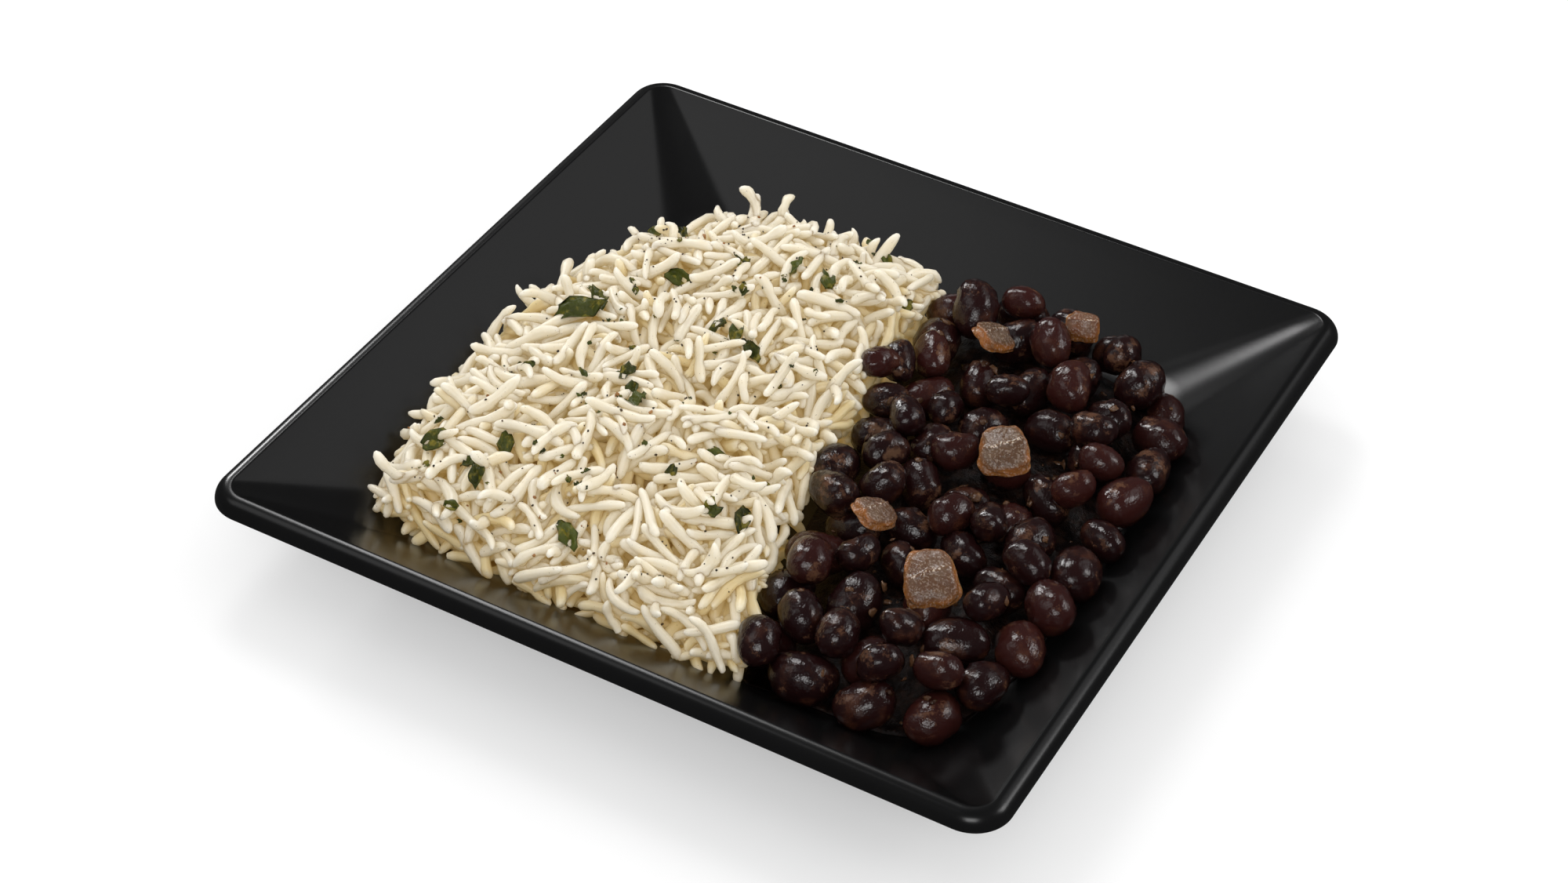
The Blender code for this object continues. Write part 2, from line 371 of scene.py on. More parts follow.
innerRows, outerRows = innerProfile(plateSettings), outerProfile(plateSettings)
profileHalf = np.array([u for u, z in innerRows])
profileHeight = np.array([z for u, z in innerRows])


def dishHeight(x, y):
    a, b = np.abs(x), np.abs(y)
    half = np.maximum(a, b)
    for _ in range(6):
        r = innerCorner(plateSettings, half)
        turn = np.abs(a - b) < r
        root = np.sqrt(np.maximum(2 * r * r - (a - b) ** 2, 0.0))
        half = np.where(turn, (a + b - root) / 2 + r, half)
    return np.interp(half, profileHalf, profileHeight)


def makeDishTree():
    inputs = {"Profile": "Geometry", "Corner Steps": "Int", "Merge Distance": "Float", "Material": "Material"}
    tree, given = newTree("squareDish", inputs, "Dish")

    def plus(a, b):
        return calc(tree, "ADD", a, b)

    def minus(a, b):
        return calc(tree, "SUBTRACT", a, b)

    def times(a, b):
        return calc(tree, "MULTIPLY", a, b)

    def wholeTimes(a, b):
        return calc(tree, "FLOOR", calc(tree, "DIVIDE", plus(a, 0.5), b))

    # each row of the grid becomes one ring: four arcs, joined by the straight sides
    profile, steps = given["Profile"], given["Corner Steps"]
    size = addNode(tree, "GeometryNodeAttributeDomainSize", {0: profile}, component="MESH")
    rows = size.outputs["Point Count"]
    perCorner = plus(steps, 1)
    ring = plus(times(perCorner, 4), 1)
    grid = addNode(tree, "GeometryNodeMeshGrid", {"Vertices X": rows, "Vertices Y": ring})
    index = addNode(tree, "GeometryNodeInputIndex").outputs[0]
    row = wholeTimes(index, ring)
    step = minus(index, times(row, ring))
    place = addNode(tree, "GeometryNodeSampleIndex", {0: profile, "Index": row}, data_type="FLOAT_VECTOR")
    tree.links.new(addNode(tree, "GeometryNodeInputPosition").outputs[0], place.inputs["Value"])
    corner = addNode(tree, "GeometryNodeInputNamedAttribute", {"Name": "corner"}, data_type="FLOAT")
    radius = addNode(tree, "GeometryNodeSampleIndex", {0: profile, "Index": row}, data_type="FLOAT")
    tree.links.new(corner.outputs[0], radius.inputs["Value"])
    split = addNode(tree, "ShaderNodeSeparateXYZ", {0: place})
    half, height, r = split.outputs[0], split.outputs[2], radius.outputs[0]
    quarter = wholeTimes(step, perCorner)
    share = calc(tree, "DIVIDE", minus(step, times(quarter, perCorner)), steps)
    turn = times(plus(quarter, share), pi / 2)
    aim = times(plus(quarter, 0.5), pi / 2)
    reach = times(minus(half, r), sqrt(2))
    x, y = [plus(times(reach, calc(tree, wave, aim)), times(r, calc(tree, wave, turn)))
            for wave in ("COSINE", "SINE")]
    spot = addNode(tree, "ShaderNodeCombineXYZ", {0: x, 1: y, 2: height})
    moved = addNode(tree, "GeometryNodeSetPosition", {0: grid, "Position": spot})
    merged = addNode(tree, "GeometryNodeMergeByDistance", {0: moved, "Distance": given["Merge Distance"]})
    return finishTree(tree, addNode(tree, "GeometryNodeSetShadeSmooth", {0: merged}), given["Material"])


def glazeMaterial():
    material, tree, shader = newMaterial("plateGlaze")
    cloudy = objectNoise(tree, 55.0, detail=4.0)
    shade = mixColour(tree, cloudy, (0.0030, 0.0030, 0.0032), (0.0046, 0.0046, 0.0048))
    feed(tree, shader, "Base Color", shade)
    unevenRoughness(tree, shader, cloudy, 0.215, 0.05)
    addBump(tree, shader, objectNoise(tree, 900.0, detail=2.0), 0.06, 0.0001)
    return material


def makePlate(p):
    flat = [(0.0, 0.0), (p["flatHalf"], p["flatCorner"])]
    inner = [(u, p["wellTop"], c) for u, c in flat + [(p["wellFlat"], p["wellCorner"])]]
    inner += [(u, z, innerCorner(p, u)) for u, z in innerRows]
    outer = [(u, z, outerCorner(p, u, z)) for u, z in outerRows]
    rows = inner + outer + [(u, p["footRecess"], c) for u, c in reversed(flat)]
    mesh = bpy.data.meshes.new("plateGlazed")
    links = [(i, i + 1) for i in range(len(rows) - 1)]
    mesh.from_pydata([(u * mm, 0.0, z * mm) for u, z, c in rows], links, [])
    mesh.attributes.new("corner", "FLOAT", "POINT").data.foreach_set("value", [c * mm for u, z, c in rows])
    plate = linkObject("plateGlazed", mesh)
    values = {"Corner Steps": p["cornerSteps"], "Merge Distance": p["mergeDistance"] * mm}
    plainMesh(plate, makeDishTree(), {**values, "Material": glazeMaterial()})
    handOver(plate, ("plate",))
    print("plate made:", len(plate.data.polygons), "faces")


makePlate(plateSettings)


# the heaps' outlines in mm: the border between them, then each one's own edge
borderLine = [(25.5, -70), (17.5, -45), (12, -15), (9, 13), (6.8, 30), (5.4, 47), (5, 60)]
riceEdge = [(-3, 61.5), (-20, 62), (-37, 60.5), (-50.5, 53.5), (-61, 39), (-68, 20), (-71, -3), (-70.5, -24),
            (-69.5, -43), (-66, -60.5), (-57, -68), (-40, -70), (-20, -71.5), (4, -72), (20, -71)]
beanEdge = [(31, -71), (45, -70.5), (57, -69), (67, -64), (72.6, -53), (75.6, -40), (76.2, -26), (76.4, -10),
            (76.2, 12), (74, 34), (68, 51), (59, 60), (47, 64), (34, 66), (22, 64.5), (12, 61.5)]
cell = 0.5
gridHalf = 86.0
# a bed clears the plate by coreGap; tiny and nowhere are safe ends for comparing
coreGap, leastCore, tiny, nowhere = 0.03, 0.02, 1e-9, -1e3
gridCount = int(2 * gridHalf / cell) + 1
gridLine = np.linspace(-gridHalf, gridHalf, gridCount)
gridX, gridY = np.meshgrid(gridLine, gridLine, indexing="ij")
dishField = dishHeight(gridX, gridY)


def smoothLine(points, steps=8):
    padded = [np.array(p, float) for p in (points[0], *points, points[-1])]
    line = []
    for p0, p1, p2, p3 in zip(padded, padded[1:], padded[2:], padded[3:]):
        for i in range(steps):
            t = i / steps
            line.append(0.5 * (2 * p1 + (p2 - p0) * t + (2 * p0 - 5 * p1 + 4 * p2 - p3) * t * t
                               + (3 * p1 - 3 * p2 + p3 - p0) * t**3))
    return line + [padded[-1]]


# distance to the outline at every cell, positive inside
def insideDistance(outline):
    points = np.array(outline)
    nearest = np.full(gridX.shape, 1e9)
    inside = np.zeros(gridX.shape, bool)
    for a, b in zip(points, np.roll(points, -1, axis=0)):
        d = b - a
        if not d.any():
            continue
        t = np.clip(((gridX - a[0]) * d[0] + (gridY - a[1]) * d[1]) / (d @ d), 0, 1)
        nearest = np.minimum(nearest, np.hypot(gridX - a[0] - t * d[0], gridY - a[1] - t * d[1]))
        if d[1]:
            crosses = (a[1] > gridY) != (b[1] > gridY)
            inside ^= crosses & (gridX < a[0] + (gridY - a[1]) * d[0] / d[1])
    return np.where(inside, nearest, -nearest)


# soft unevenness of about -1 to 1
def waves(x, y, across, seed):
    rng = np.random.default_rng(seed)
    total = np.zeros_like(x)
    for _ in range(14):
        a = rng.uniform(0, tau)
        k = tau / (across * rng.uniform(1.4, 3.2))
        total += np.sin(k * (x * cos(a) + y * sin(a)) + rng.uniform(0, tau))
    return total / 4.5


def heapTop(distance, heap):
    rise = np.clip(np.minimum(foodDistance, distance + heap["meeting"]) / heap["shoulder"], 0, 1)
    full = np.maximum(plateSettings["wellTop"] + heap["depth"] - dishField, heap["edgeDepth"])
    thick = heap["edgeDepth"] + (full - heap["edgeDepth"]) * np.sqrt(1 - (1 - rise) ** 2)
    lumps = heap["lumps"] * waves(gridX, gridY, heap["lumpAcross"], heap["seed"])
    return np.where(distance > 0, dishField + thick + lumps * np.clip(0.25 + rise, 0, 1), dishField)


# the solid bed stays a step below the heap and sinks to nothing at its edges
def bedTop(distance, target, heap):
    rise = np.clip((np.minimum(foodDistance, distance) - heap["bedInset"]) / heap["shoulder"], 0, 1)
    return dishField + np.maximum(target - dishField - heap["bedDrop"], 0) * np.sqrt(1 - (1 - rise) ** 2)


# the grid cell at a place, or at many
def cellOf(*spot):
    cells = [np.rint((np.asarray(v) + gridHalf) / cell).astype(int) for v in spot]
    return tuple(np.clip(index, 0, gridCount - 1) for index in cells)


def window(x, y, reach):
    first = [max(0, int((v - reach + gridHalf) / cell)) for v in (x, y)]
    last = [min(gridCount, int((v + reach + gridHalf) / cell) + 2) for v in (x, y)]
    return slice(first[0], last[0]), slice(first[1], last[1])


border = smoothLine(borderLine)
riceDistance = insideDistance(smoothLine(riceEdge) + border)
beanDistance = insideDistance(smoothLine(beanEdge) + border[::-1])
foodDistance = insideDistance(smoothLine(riceEdge) + smoothLine(beanEdge))


def makeScatterTree():
    inputs = {"Places": "Geometry", "Kinds": "Collection", "Smallest": "Float", "Largest": "Float",
              "Seed": "Int", "Material": "Material"}
    tree, given = newTree("scatterPieces", inputs, "Pieces")
    forms = {"turn": "FLOAT_VECTOR", "size": "FLOAT_VECTOR", "kind": "INT"}
    turn, size, kind = [addNode(tree, "GeometryNodeInputNamedAttribute", {"Name": name}, data_type=form)
                        for name, form in forms.items()]
    uneven = addNode(tree, "FunctionNodeRandomValue",
                     {2: given["Smallest"], 3: given["Largest"], "Seed": given["Seed"]}, data_type="FLOAT")
    scale = addNode(tree, "ShaderNodeVectorMath", {0: size, "Scale": uneven.outputs[1]}, operation="SCALE")
    kinds = addNode(tree, "GeometryNodeCollectionInfo",
                    {"Collection": given["Kinds"], "Separate Children": True, "Reset Children": True})
    rotation = addNode(tree, "FunctionNodeEulerToRotation", {0: turn})
    placed = addNode(tree, "GeometryNodeInstanceOnPoints", {
        "Points": given["Places"], "Instance": kinds, "Pick Instance": True, "Instance Index": kind,
        "Rotation": rotation, "Scale": scale})
    return finishTree(tree, placed, given["Material"])


scatterTree = makeScatterTree()


def placeRow(at, turn, size, kinds, rng):
    return {"at": at, "turn": turn, "size": size, "kind": rng.randrange(kinds), "tone": rng.random()}


# places: dictionaries with at (mm), turn (radians), size (mm), kind and tone
def scatter(name, places, kinds, material, spread=(0.97, 1.03), seed=1, replaced=()):
    shelf = bpy.data.collections.new(name + "Kinds")
    for index, mesh in enumerate(kinds):
        shelf.objects.link(bpy.data.objects.new(f"{name}Kind{index:02d}", mesh))
    mesh = bpy.data.meshes.new(name)
    mesh.from_pydata([tuple(v * mm for v in place["at"]) for place in places], [], [])
    stored = {"turn": ("FLOAT_VECTOR", "vector", 1), "size": ("FLOAT_VECTOR", "vector", mm),
              "kind": ("INT", "value", 1), "tone": ("FLOAT", "value", 1)}
    for key, (form, field, unit) in stored.items():
        rows = np.array([place[key] for place in places], np.int32 if form == "INT" else np.float32) * unit
        mesh.attributes.new(key, form, "POINT").data.foreach_set(field, rows.ravel())
    made = linkObject(name, mesh)
    plainMesh(made, scatterTree, {"Kinds": shelf, "Smallest": spread[0], "Largest": spread[1], "Seed": seed,
                                  "Material": material})
    for source in list(shelf.objects):
        bpy.data.objects.remove(source)
    bpy.data.collections.remove(shelf)
    handOver(made, replaced)
    triangles = sum(len(face.vertices) - 2 for face in made.data.polygons)
    print(name, "made:", len(places), "pieces,", triangles, "triangles")


# a closed body along X from -1 to 1; shape(s, a) gives the point, mark(s, a) the stored value
def longBody(name, rings, around, shape, mark=None):
    bm = bmesh.new()
    alongLayer = bm.verts.layers.float.new("along")
    markLayer = bm.verts.layers.float.new("mark")

    def put(s, a):
        vertex = bm.verts.new(shape(s, a))
        vertex[alongLayer] = s
        vertex[markLayer] = mark(s, a) if mark else 0.0
        return vertex

    rows = []
    for i in range(rings):
        s = -cos(pi * (i + 1) / (rings + 1))
        rows.append([put(s, tau * k / around) for k in range(around)])
    for s, row in ((-1.0, rows[0]), (1.0, rows[-1])):
        fanFaces(bm, put(s, 0.0), row)
    bandFaces(bm, rows)
    return meshFrom(name, bm)


# where rays from the centre meet the outline, evenly turned
def outlineReach(outline, centre, around):
    points = np.array(outline)
    reach = []
    for k in range(around):
        a = tau * k / around
        way = np.array((cos(a), sin(a)))
        best = 0.0
        for p, q in zip(points, np.roll(points, -1, axis=0)):
            edge, gap = q - p, p - centre
            cross = way[0] * edge[1] - way[1] * edge[0]
            if abs(cross) < tiny:
                continue
            t = (gap[0] * edge[1] - gap[1] * edge[0]) / cross
            u = (gap[0] * way[1] - gap[1] * way[0]) / cross
            if -tiny <= u <= 1 + tiny and t > best:
                best = t
        reach.append(centre + way * best)
    return reach


# a closed lump from the centre out to the outline; lift gives the height of its top
def coreBody(name, outline, centre, lift, rings, around, material, replaced=()):
    centre = np.array(centre)
    reach = outlineReach(outline, centre, around)
    bm = bmesh.new()

    def put(x, y, top):
        base = float(dishHeight(x, y)) + coreGap
        z = max(lift(x, y, *cellOf(x, y)), base + leastCore) if top else base
        return bm.verts.new((x * mm, y * mm, z * mm))

    layers = []
    for top, shares in ((True, [i / rings for i in range(1, rings)] + [1 - 0.5 / rings, 1.0]),
                        (False, [0.35, 0.75, 1.0])):
        rows = [[put(*(centre + (end - centre) * share), top) for end in reach] for share in shares]
        fanFaces(bm, put(*centre, top), rows[0])
        bandFaces(bm, rows)
        layers.append(rows)
    bandFaces(bm, [layers[0][-1], layers[1][-1]])
    made = linkObject(name, meshFrom(name, bm))
    made.data.materials.append(material)
    handOver(made, replaced)


def noiseStart(rng, reach):
    return Vector([rng.uniform(-reach, reach) for _ in range(3)])


def noiseAt(start, x, y, z):
    return noise.noise(Vector((x, y, z)) + start)


def roomAt(target, surface, spot):
    return target[spot[0], spot[1]] - surface[spot[0], spot[1]]


# how far inside the outline the outer end of a long thing is
def endDistance(distance, x, y, yaw, reach):
    ends = [cellOf(x + k * reach * cos(yaw), y + k * reach * sin(yaw)) for k in (-1, 1)]
    return min(distance[end] for end in ends)


# the cells below an oval body, their place along it, and its share of height there
def footprint(x, y, yaw, a, b):
    area = window(x, y, a)
    dx, dy = gridX[area] - x, gridY[area] - y
    u = (dx * cos(yaw) + dy * sin(yaw)) / a
    v = (-dx * sin(yaw) + dy * cos(yaw)) / b
    left = 1 - u * u - v * v
    return area, u, left > 0, np.sqrt(np.maximum(left, 0))


# an oval body let down on the field: its height, and which way it would lean
def restBody(field, x, y, yaw, a, b, c):
    area, u, below, share = footprint(x, y, yaw, a, b)
    reach = np.where(below, field[area] + c * share, nowhere)
    spot = np.unravel_index(np.argmax(reach), reach.shape)
    return float(reach[spot]), float(u[spot])


def stampBody(field, x, y, z, yaw, slope, a, b, c):
    area, u, below, share = footprint(x, y, yaw, a, b)
    field[area] = np.maximum(field[area], np.where(below, z + u * a * slope + c * share, nowhere))


beanSettings = {
    "heap": {"depth": 16.5, "edgeDepth": 6.5, "shoulder": 17.0, "meeting": 9.0, "lumps": 1.4,
             "lumpAcross": 16.0, "seed": 9, "bedDrop": 10.0, "bedInset": 7.0},
    "size": (6.7, 5.35, 4.9),
    "pitch": 0.2,
    "rowUneven": (0.86, 1.12),
    "rowGap": 9.6,
    "rowHighest": 8.5,
    "rowInset": 0.72,
    "rowSink": 0.4,
    # x, y, z, heading in degrees
    "atBorder": [(25, -59, 13.5, 20), (22.4, -46, 15.5, 80), (23.0, -33.5, 17.5, 20), (14.3, -11, 19.5, 70),
                 (17, 5, 17, 10), (19, 22.5, 16.5, 60), (12.5, 41, 17, 100), (10.5, 53, 16, 30)],
    "borderUneven": (0.9, 1.02),
    # the heap is filled first, and then smaller beans go into its gaps
    "passes": [{"intoGaps": False, "tries": 400, "patience": 20, "uneven": (0.86, 1.12), "above": 1.3},
               {"intoGaps": True, "tries": 1200, "patience": 420, "uneven": (0.76, 1.06), "above": 3.0}],
    "inset": 3.0,
    "overhang": 0.5,
    "flat": 0.6,
    "sink": 0.7,
    "picks": 40,
    "gapPicks": 24,
    "nearPicks": 14,
    "nearCells": 6,
    "leastGap": 2.2,
    "onionMargin": 2.0,
    "filmDepth": 1.3,
    "filmInset": 4.5,
    "filmRound": 0.9,
    "kinds": 12,
    "kindSeed": 70,
    "seed": 23,
}


def beanPlace(p, rng, surface, x, y, z, yaw, pitch, a, b, c):
    stampBody(surface, x, y, z, yaw, tan(pitch) * 0.8, a, b, c)
    return placeRow((x, y, z), (rng.uniform(0, tau), -pitch, yaw), (a, b, c), p["kinds"], rng)


def borderBeans(p, surface):
    rng = random.Random(p["seed"] + 1)
    places = []
    for x, y, z, yaw in p["atBorder"]:
        size = [v * rng.uniform(*p["borderUneven"]) for v in p["size"]]
        pitch = rng.uniform(-p["pitch"], p["pitch"])
        places.append(beanPlace(p, rng, surface, x, y, z, radians(yaw), pitch, *size))
    return places


riceSettings = {
    "heap": {"depth": 20.0, "edgeDepth": 3.2, "shoulder": 36.0, "meeting": 10.0, "lumps": 2.5,
             "lumpAcross": 10.0, "seed": 5, "bedDrop": 6.0, "bedInset": 9.0},
    "bedShare": 0.92,
    "bedShift": 8.0,
    "halfWidth": (0.98, 1.34),
    "flat": 0.9,
    # above is the layer's top over the heap line, and sink is how deep a grain settles
    "layers": [
        {"count": None, "halfLength": (4.2, 8.0), "above": -1.6, "sink": (0.5, 1.2), "tossed": 0.35, "picks": 8},
        {"count": 400, "halfLength": (2.4, 4.4), "above": -1.0, "sink": (0.2, 0.8), "tossed": 0.30, "picks": 3},
        {"count": 560, "halfLength": (4.8, 8.2), "above": 1.5, "sink": (0.1, 0.5), "tossed": 0.40, "picks": 3},
    ],
    "inset": 0.3,
    "overhang": (-2.0, -0.5, 0.5),
    "leastRoom": 0.4,
    "unevenTop": (-0.8, 1.2),
    "steepest": radians(60),
    "tries": 50000,
    "patience": 1500,
    "tossedSlope": 0.5,
    "proud": 240,
    "proudHalfLength": (4.0, 7.6),
    "proudWithin": (2.0, 16.0),
    "proudHeading": 0.7,
    "proudSlope": (0.1, 0.9),
    # painted shade: how far below the heap's surface grains start to be painted darker, over what depth, and
    # what share of their tone that takes
    "paintedShadeFrom": 1.2,
    "paintedShadeDepth": 5.0,
    "paintedShadeShare": 0.75,
    "kinds": 14,
    "kindSeed": 40,
    "seed": 11,
    "perPiece": 1350,
}


# a grain let down on the field: its height and slope as it rests on a support at each side of its middle
def restLine(field, x, y, yaw, halfLength, radius):
    s = np.linspace(-0.94, 0.94, 11)
    cosine, sine = cos(yaw), sin(yaw)
    thick = radius * np.sqrt(1 - s**2 * 0.95)
    height = None
    for side in (-0.6, 0.0, 0.6):
        px = x + s * halfLength * cosine - side * radius * sine
        py = y + s * halfLength * sine + side * radius * cosine
        here = field[cellOf(px, py)] + thick * sqrt(1 - side * side)
        height = here if height is None else np.maximum(height, here)
    left, right = slice(0, 5), slice(6, 11)
    sl, sr = s[left][:, None], s[right][None, :]
    hl, hr = height[left][:, None], height[right][None, :]
    middle = (hl * sr - hr * sl) / (sr - sl)
    best = np.unravel_index(np.argmax(middle), middle.shape)
    if middle[best] >= height[5]:
        slope = (hr[0, best[1]] - hl[best[0], 0]) / (sr[0, best[1]] - sl[best[0], 0])
        return float(middle[best]), slope / halfLength
    low = float(np.max((height[right] - height[5]) / s[right]))
    high = float(np.min((height[5] - height[left]) / -s[left]))
    slope = low if abs(low) < abs(high) else high
    return float(height[5]), slope / halfLength


def grainPlace(p, rng, surface, x, y, z, yaw, slope, halfLength, halfWidth):
    pitch = atan(slope)
    stampBody(surface, x, y, z, yaw, slope, halfLength * cos(pitch), halfWidth, halfWidth * p["flat"])
    turn = (rng.uniform(0, tau), -pitch, yaw)
    return placeRow((x, y, z), turn, (halfLength, halfWidth, halfWidth), p["kinds"], rng)


def layGrains(p, layer, rng, cells, surface, target):
    places = []
    misses = 0
    for _ in range(p["tries"]):
        picks = [rng.choice(cells) for _ in range(layer["picks"])]
        i, j = max(picks, key=lambda spot: roomAt(target, surface, spot))
        x, y = [gridLine[n] + rng.uniform(-cell / 2, cell / 2) for n in (i, j)]
        limit = target[i, j] + layer["above"]
        if limit - surface[i, j] < p["leastRoom"]:
            misses += 1
            if misses > p["patience"]:
                break
            continue
        halfLength, halfWidth = rng.triangular(*layer["halfLength"]), rng.uniform(*p["halfWidth"])
        yaw = rng.uniform(0, tau)
        if endDistance(riceDistance, x, y, yaw, halfLength) < rng.choice(p["overhang"]):
            continue
        z, slope = restLine(surface, x, y, yaw, halfLength, halfWidth * p["flat"])
        if abs(slope) > tan(p["steepest"]):
            continue
        z -= rng.uniform(*layer["sink"])
        if z > limit + rng.uniform(*p["unevenTop"]):
            continue
        if rng.random() < layer["tossed"]:
            slope += rng.uniform(-1, 1) * p["tossedSlope"]
        places.append(grainPlace(p, rng, surface, x, y, z, yaw, slope, halfLength, halfWidth))
        if len(places) == layer["count"]:
            break
    return places


# grains that stand out near the heap's edges, pointing outwards
def proudGrains(p, rng, cells, surface):
    eastward, northward = np.gradient(riceDistance)
    nearest, farthest = p["proudWithin"]
    places = []
    for _ in range(p["proud"]):
        i, j = rng.choice(cells)
        if not nearest < riceDistance[i, j] < farthest:
            continue
        halfLength, halfWidth = rng.uniform(*p["proudHalfLength"]), rng.uniform(*p["halfWidth"])
        yaw = atan2(-northward[i, j], -eastward[i, j]) + rng.gauss(0, p["proudHeading"])
        z = surface[i, j] + 0.1 * halfLength
        places.append(grainPlace(p, rng, surface, gridLine[i], gridLine[j], z, yaw,
                                 rng.uniform(*p["proudSlope"]), halfLength * 0.9, halfWidth))
    return places


def fillRice(p, surface, target):
    rng = random.Random(p["seed"])
    cells = np.argwhere(riceDistance > p["inset"])
    places = []
    for layer in p["layers"]:
        places += layGrains(p, layer, rng, cells, surface, target)
    places += proudGrains(p, rng, cells, surface)
    # painted shade: grains lying deeper below the heap's surface get a lower tone, which the rice material
    # paints darker and yellower; the rest of the tone stays random
    share = p["paintedShadeShare"]
    for place in places:
        x, y, z = place["at"]
        under = float(surface[cellOf(x, y)]) - z - p["paintedShadeFrom"]
        depth = min(1.0, max(0.0, share - under / p["paintedShadeDepth"]))
        place["tone"] = depth * share + (1 - share) * place["tone"]
    return places


# several shapes of one thing, each from its own seed
def kindsOf(makeMesh, count, seed):
    return [makeMesh(index, random.Random(seed + index)) for index in range(count)]


def grainMesh(index, rng):
    bend, sway = rng.uniform(0.2, 2.3), rng.uniform(-1.5, 1.5)
    taper, blunt = rng.uniform(-0.25, 0.25), rng.uniform(3.6, 11.0)
    flat, phase = rng.uniform(0.80, 0.95), rng.uniform(0, tau)
    swell, waist = rng.uniform(0.05, 0.15), rng.uniform(-0.12, 0.10)
    knots, start = rng.uniform(0.04, 0.15), rng.uniform(0, tau)

    def shape(s, a):
        r = max(0.0, 1 - abs(s) ** blunt) ** 0.5 * (1 + taper * s + waist * cos(pi * s))
        lumps = swell * sin(4.5 * s + phase) * cos(a - phase)
        r *= 1 + lumps + knots * sin(7.0 * s + start)
        return (s, bend * (s * s - 0.35) + r * cos(a), sway * s * (1 - s * s) + r * flat * sin(a))

    return longBody(f"grain{index}", 9, 8, shape)


def riceMaterial():
    # the warm emission is painted light: the grains glow a little, standing in for light passing through them
    # and lifting the gaps between them
    material, tree, shader = newMaterial("wetRice", {
        "Subsurface Weight": 0.9, "Subsurface Radius": (1.0, 1.0, 1.0), "Subsurface Scale": 0.0026,
        "Emission Color": (0.95, 0.64, 0.20, 1.0), "Emission Strength": 0.085})
    shader.subsurface_method = "RANDOM_WALK"
    tips = smoothMask(tree, calc(tree, "ABSOLUTE", attribute(tree, "along")), 0.55, 1.0)
    # painted shade: grains with a low tone lie deeper in the heap and get the darker, yellower base
    paintedDepthShade = smoothMask(tree, attribute(tree, "tone"), 0.05, 0.70)
    base = mixColour(tree, paintedDepthShade, (0.63, 0.52, 0.30), (0.655, 0.615, 0.515))
    base = layOver(tree, base, tips, 0.40, (0.75, 0.74, 0.68))
    cloudy = objectNoise(tree, 260.0)
    base = layOver(tree, base, smoothMask(tree, cloudy, 0.40, 0.75), 0.20, (0.68, 0.56, 0.35))
    dusting = smoothMask(tree, objectNoise(tree, 2600.0, detail=1.0), 0.735, 0.775)
    base = layOver(tree, base, dusting, 0.8, (0.06, 0.04, 0.02))
    feed(tree, shader, "Base Color", base)
    unevenRoughness(tree, shader, cloudy, 0.25, 0.20)
    addBump(tree, shader, objectNoise(tree, 1500.0, detail=2.0), 0.25, 0.0002)
    return material


# the bed shows only in the gaps between grains; its darker, browner colour is painted shade of those gaps
def riceBedShadeMaterial():
    material, tree, shader = newMaterial("riceBed", {"Roughness": 0.6})
    cloudy = objectNoise(tree, 300.0)
    feed(tree, shader, "Base Color", mixColour(tree, cloudy, (0.52, 0.35, 0.12), (0.68, 0.52, 0.26)))
    addBump(tree, shader, cloudy, 0.5, 0.0008)
    return material


riceTarget = heapTop(riceDistance, riceSettings["heap"])
riceBed = bedTop(riceDistance, riceTarget, riceSettings["heap"])
beanTarget = heapTop(beanDistance, beanSettings["heap"])
beanBed = bedTop(beanDistance, beanTarget, beanSettings["heap"])
surface = np.maximum(dishField, np.maximum(np.where(riceDistance > 0, riceBed, 0),
                                           np.where(beanDistance > 0, beanBed, 0)))


def riceLift(x, y, i, j):
    lumps = 0.7 * noise.noise((x / 4, y / 4, 0.3))
    return float(riceBed[i, j]) + lumps * min(1.0, float(riceBed[i, j] - dishField[i, j]))


share, shift = riceSettings["bedShare"], riceSettings["bedShift"]
riceBedEdge = smoothLine([(x * share, y * share) for x, y in riceEdge])
riceBedEdge += [(x - shift, y * share) for x, y in border]
coreBody("riceBed", riceBedEdge, (-30, 0), riceLift, 40, 120, riceBedShadeMaterial())
beanPlaces = borderBeans(beanSettings, surface)
grainPlaces = fillRice(riceSettings, surface, riceTarget)
grains = kindsOf(grainMesh, riceSettings["kinds"], riceSettings["kindSeed"])
wetRice = riceMaterial()
per = riceSettings["perPiece"]
for number, start in enumerate(range(0, len(grainPlaces), per)):
    scatter(f"riceGrains{number + 1}", grainPlaces[start:start + per], grains, wetRice,
            seed=3 + number, replaced=("rice",) if number == 0 else ())


# the outermost beans stand in a row along the foot
def beanRow(p, surface):
    rng = random.Random(p["seed"] + 2)
    line = smoothLine(beanEdge)
    places = []
    walked = p["rowGap"] * 0.5
    for first, second in zip(line, line[1:]):
        edge = second - first
        walked += np.hypot(*edge)
        if walked < p["rowGap"]:
            continue
        walked = rng.uniform(-0.8, 0.8)
        grow = rng.uniform(*p["rowUneven"])
        a, b, c = [v * grow for v in p["size"]]
        inward = np.array((-edge[1], edge[0])) / np.hypot(*edge)
        x, y = second + inward * (b * p["rowInset"] + rng.uniform(0, 1.2))
        yaw = atan2(edge[1], edge[0]) + rng.choice((0.0, 0.3, -0.4, 0.8, 1.2)) * rng.uniform(0.5, 1)
        z, _ = restBody(surface, x, y, yaw, a, b, c)
        if z - float(dishHeight(x, y)) > p["rowHighest"]:
            walked = p["rowGap"] - 1.5
        else:
            pitch = rng.uniform(-p["pitch"], p["pitch"])
            places.append(beanPlace(p, rng, surface, x, y, z - p["rowSink"], yaw, pitch, a, b, c))
    return places


onionBoxes = [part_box(f"onion_{n}") for n in range(1, 6)]


# beans stay below the onion pieces
def belowOnion(x, y, margin):
    for low, high in onionBoxes:
        if all(low[n] / mm - margin < v < high[n] / mm + margin for n, v in enumerate((x, y))):
            return low[2] / mm + margin
    return -nowhere


